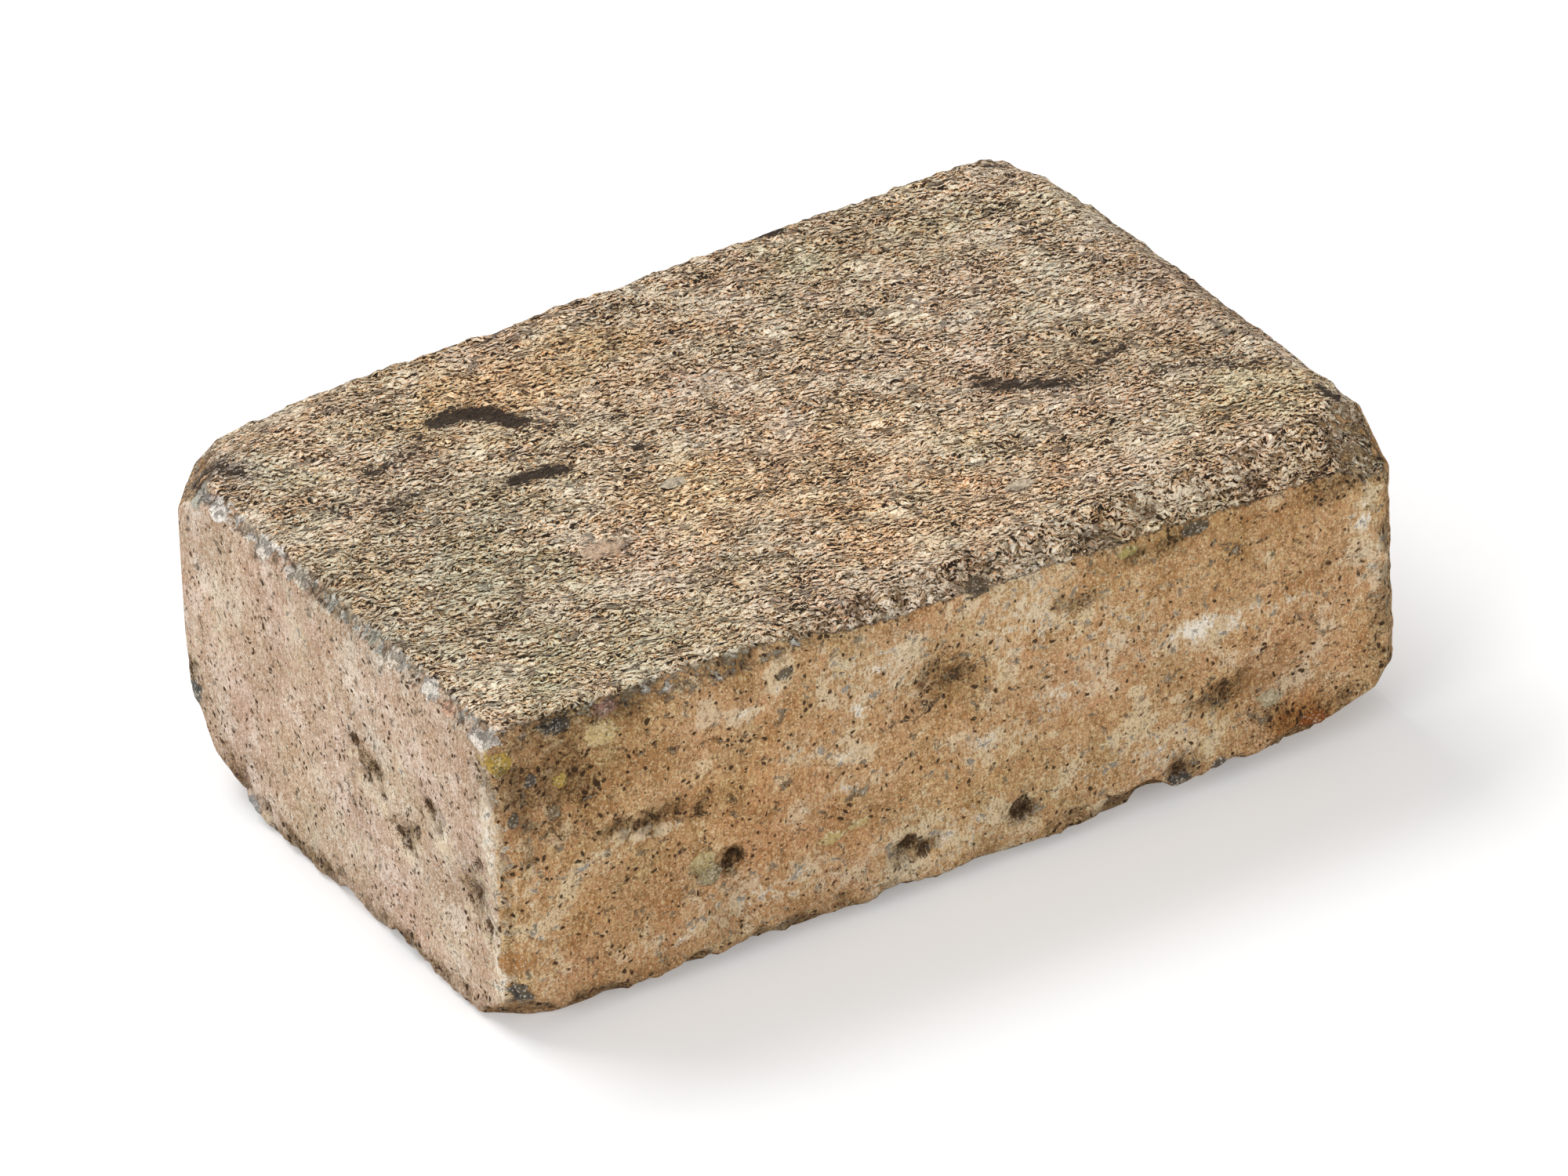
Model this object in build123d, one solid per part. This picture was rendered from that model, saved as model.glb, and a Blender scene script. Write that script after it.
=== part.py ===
"""A tumbled concrete paving block, pressed in one piece and then rolled in a drum that
knocks off its corners and wears its edges. Millimetres, +Z up, origin at the middle of
the bottom face. X runs along the length and Y across the width."""

import os

from build123d import *

# Format of the block, as pressed
LENGTH = 210.0
WIDTH = 140.0
HEIGHT = 70.0

# Smallest rounding that the drum leaves on any edge or corner
WORN_RADIUS = 2.4

# Corners of the block, as signs along X, Y and Z. The front is the long face at -Y, and
# the left end is the short face at -X.
FRONT_LEFT_TOP = (-1, -1, 1)
FRONT_LEFT_BOTTOM = (-1, -1, -1)
FRONT_RIGHT_TOP = (1, -1, 1)
FRONT_RIGHT_BOTTOM = (1, -1, -1)
BACK_LEFT_TOP = (-1, 1, 1)
BACK_LEFT_BOTTOM = (-1, 1, -1)
BACK_RIGHT_TOP = (1, 1, 1)
BACK_RIGHT_BOTTOM = (1, 1, -1)

# Facets that the drum has knocked off. Each starts from a corner, and its plane meets
# the three edges of that corner at these distances along X, Y and Z. A distance longer
# than the block makes a bevel that narrows along the edge.
KNOCKS = (
    # the four upper edges
    (FRONT_LEFT_TOP, 700.0, 4.5, 5.5),
    (FRONT_RIGHT_TOP, 260.0, 11.0, 8.5),
    (FRONT_LEFT_TOP, 3.5, 520.0, 4.0),
    (BACK_LEFT_TOP, 640.0, 4.5, 3.5),
    (BACK_RIGHT_TOP, 9.0, 330.0, 6.0),
    # the lower edges
    (FRONT_LEFT_BOTTOM, 900.0, 6.5, 4.0),
    (FRONT_RIGHT_BOTTOM, 150.0, 11.0, 6.0),
    (BACK_RIGHT_BOTTOM, 540.0, 5.0, 4.5),
    (BACK_RIGHT_BOTTOM, 6.0, 380.0, 5.0),
    # the four upright edges
    (FRONT_LEFT_BOTTOM, 3.5, 3.0, 420.0),
    (FRONT_RIGHT_BOTTOM, 5.0, 6.0, 330.0),
    (BACK_LEFT_TOP, 12.0, 14.0, 700.0),
    (BACK_RIGHT_TOP, 8.0, 36.0, 520.0),
    # the upper corners
    (FRONT_LEFT_TOP, 11.0, 8.0, 13.0),
    (FRONT_RIGHT_TOP, 30.0, 19.0, 16.0),
    (BACK_LEFT_TOP, 62.0, 20.0, 7.0),
    (BACK_LEFT_TOP, 24.0, 26.0, 18.0),
    (BACK_RIGHT_TOP, 18.0, 34.0, 7.0),
    # the lower corners, which stand hardest against the drum
    (FRONT_LEFT_BOTTOM, 18.0, 15.0, 11.0),
    (FRONT_RIGHT_BOTTOM, 40.0, 21.0, 12.5),
    (FRONT_RIGHT_BOTTOM, 16.0, 14.0, 21.0),
    (BACK_LEFT_BOTTOM, 30.0, 44.0, 16.0),
    (BACK_LEFT_BOTTOM, 19.0, 29.0, 40.0),
    (BACK_RIGHT_BOTTOM, 30.0, 26.0, 15.0),
)

# Dished chips on the faces: how far along the face from its left side as seen from
# outside, how far up, how wide the dish is and how deep
FRONT_CHIPS = (
    (17.0, 61.0, 44.0, 3.2),
    (52.0, 13.0, 15.0, 1.4),
    (100.0, 45.0, 24.0, 1.2),
    (176.0, 17.0, 24.0, 1.8),
)
LEFT_END_CHIPS = (
    (122.0, 25.0, 20.0, 1.3),
    (104.0, 38.0, 16.0, 1.0),
)
BACK_CHIPS = (
    (60.0, 58.0, 30.0, 1.6),
    (150.0, 16.0, 24.0, 1.5),
)
RIGHT_END_CHIPS = ((46.0, 20.0, 26.0, 1.6),)

# Blowholes, where the mix didn't fill the mould: along, up and radius
FRONT_HOLES = (
    (38.0, 41.0, 1.7),
    (52.5, 22.5, 2.6),
    (92.0, 11.5, 2.6),
    (118.5, 12.0, 2.2),
    (166.0, 22.0, 1.9),
)
LEFT_END_HOLES = (
    (82.0, 39.0, 1.9),
    (91.0, 38.5, 1.7),
    (112.0, 40.0, 1.8),
    (133.0, 21.0, 2.1),
)
BACK_HOLES = ((48.0, 30.0, 2.1),)
RIGHT_END_HOLES = ((88.0, 40.0, 2.0),)

# Bites out of the lower edge of the front and of the left end: along, radius and how far
# the bite reaches up
FRONT_BITES = (
    (53.0, 11.0, 3.4),
    (88.0, 9.0, 3.6),
    (152.0, 8.0, 4.6),
    (168.0, 9.0, 4.8),
)
LEFT_END_BITES = (
    (38.0, 8.0, 3.0),
    (97.0, 9.0, 2.8),
)
# How far inside the face the middle of a bite lies
BITE_INSET = 2.0
# Share of a blowhole's radius by which its centre stands out of the face
HOLE_RISE = 0.35


def block_corner(signs):
    """The corner of the block as pressed, with these signs along X, Y and Z."""
    x, y, z = signs
    return Vector(x * LENGTH / 2, y * WIDTH / 2, HEIGHT if z > 0 else 0.0)


def knock_plane(signs, reach_x, reach_y, reach_z):
    """The plane of a facet, facing out of the block, from where it meets three edges."""
    corner = block_corner(signs)
    x, y, z = signs
    outward = Vector(x / reach_x, y / reach_y, z / reach_z).normalized()
    return Plane(origin=corner - Vector(x * reach_x, 0, 0), z_dir=outward)


def worn_body():
    """The block with its knocks: a core that lies one worn radius inside every face and
    facet, grown by that radius so that each edge and corner comes out round."""
    core = Pos(0, 0, HEIGHT / 2) * Box(
        LENGTH - 2 * WORN_RADIUS, WIDTH - 2 * WORN_RADIUS, HEIGHT - 2 * WORN_RADIUS
    )
    for knock in KNOCKS:
        inner_plane = knock_plane(*knock).offset(-WORN_RADIUS)
        core = split(core, bisect_by=inner_plane, keep=Keep.BOTTOM)
    return offset(core, amount=WORN_RADIUS, kind=Kind.ARC)


def face_frame(signs, direction):
    """A plane on one upright face. Its origin is the face's lower left corner as seen
    from outside, its x runs along the face and its z points out of the block."""
    outward = Vector(*direction)
    along = Vector(0, 0, 1).cross(outward)
    return Plane(origin=block_corner(signs), x_dir=along, z_dir=outward)


def dished_chip(face, along, up, wide, deep):
    """The ball that cuts a dish of this width and depth into a face."""
    radius = (wide**2 / 4 + deep**2) / (2 * deep)
    return face * Pos(along, up, radius - deep) * Sphere(radius)


def blowhole(face, along, up, radius):
    """The ball that cuts a blowhole with a mouth a little narrower than itself."""
    return face * Pos(along, up, radius * HOLE_RISE) * Sphere(radius)


def edge_bite(face, along, radius, reach):
    """The ball that bites into the lower edge of a face from below."""
    return face * Pos(along, reach - radius, -BITE_INSET) * Sphere(radius)


def tumbled_block():
    """The worn block with its chips, bites and blowholes."""
    front = face_frame(FRONT_LEFT_BOTTOM, (0, -1, 0))
    left_end = face_frame(BACK_LEFT_BOTTOM, (-1, 0, 0))
    back = face_frame(BACK_RIGHT_BOTTOM, (0, 1, 0))
    right_end = face_frame(FRONT_RIGHT_BOTTOM, (1, 0, 0))
    cutters = []
    for face, chips, holes, bites in (
        (front, FRONT_CHIPS, FRONT_HOLES, FRONT_BITES),
        (left_end, LEFT_END_CHIPS, LEFT_END_HOLES, LEFT_END_BITES),
        (back, BACK_CHIPS, BACK_HOLES, ()),
        (right_end, RIGHT_END_CHIPS, RIGHT_END_HOLES, ()),
    ):
        cutters += [dished_chip(face, *chip) for chip in chips]
        cutters += [blowhole(face, *hole) for hole in holes]
        cutters += [edge_bite(face, *bite) for bite in bites]
    return worn_body() - cutters


os.makedirs("parts", exist_ok=True)
block = tumbled_block()
export_step(block, "parts/paving_block.step")
print(f"volume {block.volume / 1000:.0f} cm3, box {block.bounding_box().size}")
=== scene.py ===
"""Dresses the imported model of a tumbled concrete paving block: one closed skin of worn
concrete that follows the solid and carries its pits, chips and stones, and a plain stage."""

from math import radians

import bpy
import numpy as np
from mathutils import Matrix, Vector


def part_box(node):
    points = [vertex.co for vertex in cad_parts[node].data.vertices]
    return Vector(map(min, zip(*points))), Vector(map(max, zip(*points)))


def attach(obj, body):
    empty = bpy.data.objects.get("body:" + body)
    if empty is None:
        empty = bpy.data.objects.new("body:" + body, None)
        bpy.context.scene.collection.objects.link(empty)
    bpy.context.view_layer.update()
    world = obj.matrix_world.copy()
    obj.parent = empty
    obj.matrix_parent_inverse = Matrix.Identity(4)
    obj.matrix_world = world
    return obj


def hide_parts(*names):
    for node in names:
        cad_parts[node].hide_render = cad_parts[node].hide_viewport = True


bl_info = {
    "name": "Tumbled paving block",
    "version": (1, 0, 0),
    "blender": (4, 5, 0),
    "location": "3D View > Sidebar > Paving block",
    "description": "Builds the worn concrete of a paving block round its packed model",
    "category": "Object",
}

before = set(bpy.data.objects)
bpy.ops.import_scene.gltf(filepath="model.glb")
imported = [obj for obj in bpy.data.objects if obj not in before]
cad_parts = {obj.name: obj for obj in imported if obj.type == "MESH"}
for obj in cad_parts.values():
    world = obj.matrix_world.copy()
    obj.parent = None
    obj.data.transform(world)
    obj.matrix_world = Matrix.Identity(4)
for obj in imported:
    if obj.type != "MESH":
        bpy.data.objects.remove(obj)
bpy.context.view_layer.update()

NODE = "paving_block"

# Millimetres in a metre: the relief is worked out in millimetres, as a mason would say it
MM = 1000.0
# Size of the block, in mm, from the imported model
LOW, HIGH = (np.array(corner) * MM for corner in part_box(NODE))
SIZE = HIGH - LOW


def linear(code):
    """A colour written as an sRGB hex value, as linear red, green, blue and alpha."""
    channels = np.array([int(code[i : i + 2], 16) for i in (1, 3, 5)]) / 255
    low = channels / 12.92
    high = ((channels + 0.055) / 1.055) ** 2.4
    return (*np.where(channels <= 0.04045, low, high), 1.0)


# Relief in numpy


def smooth_step(value, low, high):
    """0 below low and 1 above high, with the cubic 3t² - 2t³ between them. High may be the
    smaller one, and the step then falls."""
    t = np.clip((value - low) / (high - low), 0, 1)
    return t * t * (3 - 2 * t)


def grain(points, size, seed):
    """Gradient noise from about -1 to 1. The space is cut into cells of this size in mm. A
    point adds up, over its cell's eight corners, the dot product of a random direction at
    the corner and the way from the corner to the point, weighted by 6t⁵ - 15t⁴ + 10t³."""
    rng = np.random.default_rng(seed)
    directions = rng.normal(size=(32, 32, 32, 3))
    directions /= np.linalg.norm(directions, axis=-1, keepdims=True)
    place = points / size
    cell = np.floor(place).astype(int)
    inside = place - cell
    weight = inside**3 * (inside * (inside * 6 - 15) + 10)
    total = np.zeros(len(points))
    for corner in np.ndindex(2, 2, 2):
        spot = (cell + corner) % 32
        way = inside - corner
        dot = (directions[spot[:, 0], spot[:, 1], spot[:, 2]] * way).sum(axis=1)
        share = np.where(corner, weight, 1 - weight).prod(axis=1)
        total += dot * share
    return total * 1.6


def rough_grain(points, size, seed, octaves=3, keep=0.5):
    """Gradient noise added up over octaves, each half the size of the one before and keep
    times as high."""
    total = 0.0
    for octave in range(octaves):
        total = total + keep**octave * grain(points, size / 2**octave, seed + octave)
    return total


def nearest_stone(points, size, seed):
    """Each cell of this size in mm holds one stone's centre at a random place. For every
    point, the distance to the nearest centre in cell sizes, and that stone's own random
    number from 0 to 1."""
    rng = np.random.default_rng(seed)
    centres = rng.uniform(0.1, 0.9, size=(32, 32, 32, 3))
    numbers = rng.uniform(size=(32, 32, 32))
    place = points / size
    cell = np.floor(place).astype(int)
    best = np.full(len(points), 9.0)
    number = np.zeros(len(points))
    for step in np.ndindex(3, 3, 3):
        near = cell + step - 1
        spot = near % 32
        key = (spot[:, 0], spot[:, 1], spot[:, 2])
        away = np.linalg.norm(near + centres[key] - place, axis=1)
        closer = away < best
        best = np.where(closer, away, best)
        number = np.where(closer, numbers[key], number)
    return best, number


# Mesh and relief of the concrete

# Spacing of the skin's vertices, which keeps it under 200,000 triangles
SPACING = 1.045
# Islands of the bake map: face axis, side, left and bottom in mm, and whether the island
# lies turned by a quarter. They fill a square of 350 mm.
MAP_SIDE = 350.0
ISLANDS = (
    (2, 1, 0.0, 0.0, False),
    (1, 0, 0.0, 140.0, False),
    (2, 0, 0.0, 210.0, True),
    (0, 1, 210.0, 0.0, False),
    (0, 0, 210.0, 70.0, False),
    (1, 1, 280.0, 70.0, False),
)
# Empty rim that each island keeps, in mm
ISLAND_RIM = 0.6


def lattice_skin():
    """A closed grid over the six faces of the block's box, as vertices in mm, quads and
    the quads' map coordinates. A face is a grid of its two directions across it, in the
    order that makes their cross product point outwards, and vertices on a shared edge are
    one and the same."""
    counts = np.round(SIZE / SPACING).astype(int)
    codes, quads, maps = [], [], []
    stride = np.array([(counts[1] + 1) * (counts[2] + 1), counts[2] + 1, 1])
    for axis, side, left, bottom, turned in ISLANDS:
        across = [(axis + 1) % 3, (axis + 2) % 3]
        if side == 0:
            across.reverse()
        a, b = across
        steps_a, steps_b = np.meshgrid(
            np.arange(counts[a] + 1), np.arange(counts[b] + 1), indexing="ij"
        )
        code = steps_a * stride[a] + steps_b * stride[b] + side * counts[axis] * stride[axis]
        codes.append(code.ravel())
        quads.append(
            np.stack([code[:-1, :-1], code[1:, :-1], code[1:, 1:], code[:-1, 1:]], -1).reshape(-1, 4)
        )
        wide, tall = SIZE[a] - 2 * ISLAND_RIM, SIZE[b] - 2 * ISLAND_RIM
        u = ISLAND_RIM + steps_a / counts[a] * wide
        v = ISLAND_RIM + steps_b / counts[b] * tall
        if turned:
            u, v = v, SIZE[a] - u
        spot = np.stack([left + u, bottom + v], -1) / MAP_SIDE
        maps.append(
            np.stack([spot[:-1, :-1], spot[1:, :-1], spot[1:, 1:], spot[:-1, 1:]], -2).reshape(-1, 2)
        )
    known = np.unique(np.concatenate(codes))
    steps = np.stack([known // stride[0], known // stride[1] % (counts[1] + 1), known % (counts[2] + 1)], -1)
    vertices = LOW + steps / counts * SIZE
    return vertices, np.searchsorted(known, np.concatenate(quads)), np.concatenate(maps)


def skin_object(name, vertices, quads, maps):
    """A mesh object from vertices in mm, quads and the quads' map coordinates."""
    mesh = bpy.data.meshes.new(name)
    mesh.vertices.add(len(vertices))
    mesh.vertices.foreach_set("co", (vertices / MM).ravel())
    mesh.loops.add(quads.size)
    mesh.loops.foreach_set("vertex_index", quads.ravel())
    mesh.polygons.add(len(quads))
    mesh.polygons.foreach_set("loop_start", np.arange(len(quads)) * 4)
    mesh.update(calc_edges=True)
    mesh.uv_layers.new(name="OFBake").data.foreach_set("uv", maps.ravel())
    mesh.shade_smooth()
    piece = bpy.data.objects.new(name, mesh)
    bpy.context.collection.objects.link(piece)
    return piece


def read_back(mesh, field):
    """The mesh's vertex places in mm, or its vertex normals."""
    flat = np.empty(len(mesh.vertices) * 3)
    source = mesh.vertices if field == "co" else mesh.vertex_normals
    source.foreach_get(field, flat)
    return flat.reshape(-1, 3) * (MM if field == "co" else 1.0)


def fit_to_solid(piece):
    """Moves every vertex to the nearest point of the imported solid."""
    wrap = piece.modifiers.new("fit", "SHRINKWRAP")
    wrap.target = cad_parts[NODE]
    wrap.wrap_method = "NEAREST_SURFACEPOINT"
    fitted = piece.evaluated_get(bpy.context.evaluated_depsgraph_get()).to_mesh()
    places = read_back(fitted, "co")
    piece.to_mesh_clear()
    piece.modifiers.remove(wrap)
    piece.data.vertices.foreach_set("co", (places / MM).ravel())
    piece.data.update()
    return places


def on_face(face, along, up):
    """A point of a face in mm. Along runs from the face's left as seen from outside, and up
    from its lower edge, which on the top is the edge at the front."""
    x0, y0, z0 = LOW
    x1, y1, z1 = HIGH
    return {
        "top": (x0 + along, y0 + up, z1),
        "front": (x0 + along, y0, z0 + up),
        "left": (x0, y1 - along, z0 + up),
        "back": (x1 - along, y1, z0 + up),
        "right": (x1, y0 + along, z0 + up),
    }[face]


# Pits in the faces: face, along, up, radius across and depth, in mm
PITS = (
    ("front", 52.0, 24.0, 3.4, 2.4),
    ("front", 92.1, 12.6, 3.6, 2.2),
    ("front", 95.5, 10.6, 2.4, 1.4),
    ("front", 118.6, 12.1, 3.2, 1.8),
    ("front", 102.2, 52.0, 3.0, 0.5),
    ("front", 107.0, 47.5, 4.6, 0.6),
    ("front", 98.0, 43.0, 3.0, 0.5),
    ("front", 166.1, 22.4, 3.6, 0.8),
    ("front", 171.0, 19.0, 3.2, 0.6),
    ("front", 26.8, 42.1, 1.8, 1.0),
    ("front", 29.0, 41.4, 1.3, 0.9),
    ("front", 31.2, 40.2, 1.7, 1.3),
    ("front", 34.0, 40.6, 1.3, 0.8),
    ("front", 36.4, 39.7, 1.6, 1.1),
    ("front", 40.2, 39.9, 1.4, 0.8),
    ("front", 45.5, 39.0, 2.4, 0.6),
    ("front", 155.2, 8.0, 2.8, 0.9),
    ("left", 81.7, 41.1, 2.4, 1.7),
    ("left", 85.0, 36.6, 1.5, 0.8),
    ("left", 87.4, 34.8, 1.6, 0.9),
    ("left", 90.7, 38.4, 1.8, 1.1),
    ("left", 93.2, 33.8, 1.5, 0.8),
    ("left", 105.0, 32.0, 2.0, 1.2),
    ("left", 110.9, 40.6, 2.4, 1.5),
    ("left", 98.6, 28.8, 1.8, 1.1),
    ("left", 101.8, 27.2, 2.0, 1.3),
    ("left", 130.4, 37.0, 2.2, 1.2),
    ("left", 128.0, 29.4, 3.0, 1.6),
    ("left", 124.0, 26.0, 2.0, 1.2),
    ("left", 133.0, 24.0, 2.2, 1.3),
    ("left", 43.1, 5.6, 2.2, 1.4),
    ("left", 115.5, 37.0, 1.7, 1.0),
)

# Charcoal stains on the top: the line each follows, as along and up in mm, how wide it is
# to either side and how strong
CHARCOAL_STAINS = (
    (((52.0, 111.5), (57.9, 111.5), (62.5, 108.6), (65.5, 102.5)), 3.6, 1.0),
    (((66.0, 101.0), (74.0, 95.0), (84.0, 92.0)), 1.6, 0.22),
    (((54.0, 83.0), (59.2, 82.6), (63.3, 81.6)), 3.0, 1.0),
    (((31.0, 102.7), (37.7, 103.6), (43.8, 105.4), (48.0, 109.5)), 2.6, 0.34),
    (((26.0, 88.0), (33.0, 90.0), (40.0, 89.0)), 2.2, 0.26),
    (((63.5, 89.1), (69.4, 87.1)), 1.5, 0.4),
    (((80.3, 79.7), (83.3, 79.0)), 1.7, 0.5),
    (((148.5, 61.0), (154.0, 57.0), (158.3, 52.9), (163.0, 50.0)), 3.2, 0.6),
    (((167.7, 51.0), (176.3, 55.2), (181.5, 57.6)), 2.6, 0.2),
    (((181.0, 45.0), (188.6, 43.0), (198.0, 34.8)), 2.8, 0.3),
    (((7.0, 124.0), (10.5, 118.5)), 5.0, 0.5),
    (((143.0, 136.6), (147.0, 136.0)), 1.7, 0.8),
    (((196.0, 134.0), (198.5, 134.0)), 2.2, 0.7),
    (((203.5, 20.5), (204.0, 15.5)), 1.8, 0.8),
    (((187.0, 106.0), (189.0, 105.8)), 1.6, 0.5),
    (((141.0, 100.0), (146.0, 98.0)), 1.8, 0.4),
    (((16.0, 96.0), (21.0, 92.0)), 2.0, 0.3),
    (((134.0, 70.0), (137.0, 68.0)), 1.4, 0.45),
)

# Areas with a tint of their own: face, along, up, half length, half height, and what it
# does to red, green and blue
TINTED_AREAS = (
    ("top", 20.0, 62.0, 34.0, 50.0, (0.86, 0.92, 0.91)),
    ("top", 42.0, 16.0, 34.0, 18.0, (0.90, 0.94, 0.90)),
    ("top", 160.0, 120.0, 32.0, 18.0, (0.84, 0.88, 0.82)),
    ("top", 182.0, 58.0, 32.0, 16.0, (0.89, 0.86, 0.82)),
    ("top", 98.0, 52.0, 46.0, 26.0, (1.08, 1.00, 0.90)),
    ("top", 118.0, 22.0, 42.0, 16.0, (1.08, 1.00, 0.92)),
    ("top", 78.0, 116.0, 34.0, 18.0, (1.00, 0.91, 0.76)),
    ("top", 148.0, 78.0, 24.0, 14.0, (1.05, 1.05, 1.08)),
    ("top", 192.0, 24.0, 22.0, 16.0, (0.92, 0.92, 0.82)),
    ("front", 13.0, 56.0, 20.0, 14.0, (0.88, 0.80, 0.71)),
    ("front", 40.0, 39.0, 14.0, 5.0, (0.86, 0.82, 0.76)),
    ("front", 105.0, 2.0, 120.0, 9.0, (0.88, 0.90, 0.93)),
    ("front", 86.0, 57.0, 13.0, 9.0, (1.06, 1.10, 1.15)),
    ("front", 121.0, 56.0, 13.0, 13.0, (1.06, 1.10, 1.15)),
    ("front", 103.0, 46.0, 9.0, 7.0, (0.94, 0.88, 0.80)),
    ("front", 165.0, 20.0, 9.0, 6.0, (0.92, 0.87, 0.78)),
    ("front", 186.0, 8.0, 9.0, 6.0, (0.95, 0.70, 0.44)),
    ("front", 180.0, 61.0, 26.0, 7.0, (0.88, 0.86, 0.82)),
    ("front", 152.0, 62.0, 16.0, 5.0, (0.84, 0.82, 0.74)),
    ("front", 207.0, 30.0, 6.0, 34.0, (1.02, 1.07, 1.12)),
    ("front", 3.0, 30.0, 4.0, 26.0, (0.92, 0.87, 0.80)),
    ("front", 62.0, 30.0, 26.0, 18.0, (1.02, 0.97, 0.90)),
    ("front", 24.0, 22.0, 26.0, 18.0, (0.96, 0.93, 0.89)),
    ("left", 137.0, 28.0, 6.0, 34.0, (1.08, 1.10, 1.13)),
    ("left", 8.0, 12.0, 22.0, 16.0, (0.84, 0.82, 0.80)),
    ("left", 70.0, 0.0, 80.0, 7.0, (0.84, 0.82, 0.79)),
    ("left", 45.0, 40.0, 26.0, 28.0, (1.02, 0.98, 0.96)),
)

# Crumbled places, where the smooth skin from the mould has come off: face, along, up, half
# length and half height
CRUMBLED = (
    ("front", 13.0, 55.0, 17.0, 15.0),
    ("front", 33.0, 40.5, 13.0, 3.6),
    ("front", 50.0, 23.5, 6.5, 5.0),
    ("front", 92.5, 12.0, 6.5, 4.5),
    ("front", 119.0, 11.5, 6.0, 4.5),
    ("front", 102.0, 48.0, 8.5, 5.5),
    ("front", 132.0, 55.0, 8.0, 3.2),
    ("front", 146.0, 61.0, 14.0, 3.0),
    ("front", 167.0, 21.5, 10.0, 5.5),
    ("front", 185.0, 9.0, 13.0, 6.0),
    ("front", 155.0, 7.0, 7.0, 5.0),
    ("front", 70.0, 4.0, 20.0, 3.6),
    ("front", 135.0, 4.0, 14.0, 3.6),
    ("front", 20.0, 5.0, 14.0, 3.0),
    ("front", 196.0, 60.0, 10.0, 4.0),
    ("front", 205.0, 30.0, 4.0, 22.0),
    ("left", 88.0, 38.5, 8.5, 4.0),
    ("left", 112.0, 39.5, 5.5, 4.5),
    ("left", 101.0, 30.0, 5.0, 4.0),
    ("left", 129.0, 30.0, 7.5, 9.5),
    ("left", 60.0, 3.0, 22.0, 3.0),
    ("left", 105.0, 3.0, 20.0, 3.0),
    ("left", 12.0, 22.0, 8.0, 12.0),
    ("left", 30.0, 8.0, 10.0, 7.0),
    ("left", 136.0, 60.0, 5.0, 8.0),
)

# Chalky bloom of lime on the faces: face, along, up, half its length, half its height and
# how strong
LIME_BLOOMS = (
    ("front", 160.5, 38.6, 8.0, 4.2, 1.6),
    ("front", 170.5, 37.6, 9.0, 3.2, 0.8),
    ("front", 181.5, 37.3, 8.0, 2.0, 0.55),
    ("front", 86.0, 56.5, 11.0, 6.5, 0.55),
    ("front", 82.0, 48.2, 3.6, 5.0, 0.95),
    ("front", 121.0, 56.0, 11.0, 11.0, 0.50),
    ("front", 200.5, 51.0, 3.6, 5.4, 1.1),
    ("front", 203.0, 40.0, 3.0, 10.0, 0.6),
    ("front", 79.5, 38.6, 6.0, 1.8, 0.8),
    ("front", 76.5, 31.6, 7.5, 1.7, 0.7),
    ("front", 67.0, 29.6, 5.0, 1.4, 0.7),
    ("front", 56.4, 56.8, 5.0, 1.4, 0.75),
    ("front", 64.0, 61.5, 2.0, 5.0, 0.5),
    ("front", 113.0, 30.0, 12.0, 4.0, 0.45),
    ("front", 128.0, 35.0, 9.0, 5.0, 0.45),
    ("front", 40.0, 11.0, 8.0, 2.6, 0.55),
    ("front", 60.0, 14.0, 14.0, 5.0, 0.45),
    ("front", 100.0, 12.0, 16.0, 6.0, 0.45),
    ("front", 5.0, 33.0, 3.0, 8.0, 0.45),
    ("front", 8.0, 21.0, 3.0, 6.0, 0.35),
    ("front", 19.0, 36.0, 5.0, 2.4, 0.45),
    ("front", 69.3, 43.3, 5.0, 3.0, 0.50),
    ("front", 142.0, 44.0, 12.0, 8.0, 0.35),
    ("front", 150.0, 14.0, 14.0, 5.0, 0.40),
    ("left", 135.0, 46.0, 3.4, 16.0, 1.25),
    ("left", 132.0, 30.0, 3.4, 10.0, 0.65),
    ("left", 136.0, 14.0, 3.4, 12.0, 1.1),
    ("left", 73.5, 47.5, 1.6, 8.0, 0.85),
    ("left", 100.0, 45.0, 2.0, 6.0, 0.70),
    ("left", 95.0, 38.0, 3.0, 5.0, 0.75),
    ("left", 117.0, 36.0, 4.0, 5.0, 0.85),
    ("left", 60.0, 55.0, 5.0, 9.0, 0.45),
    ("left", 28.0, 40.0, 3.0, 9.0, 0.50),
    ("left", 18.0, 30.0, 2.0, 7.0, 0.60),
    ("left", 84.0, 16.0, 8.0, 4.0, 0.45),
    ("left", 116.0, 12.0, 9.0, 5.0, 0.55),
)

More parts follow.
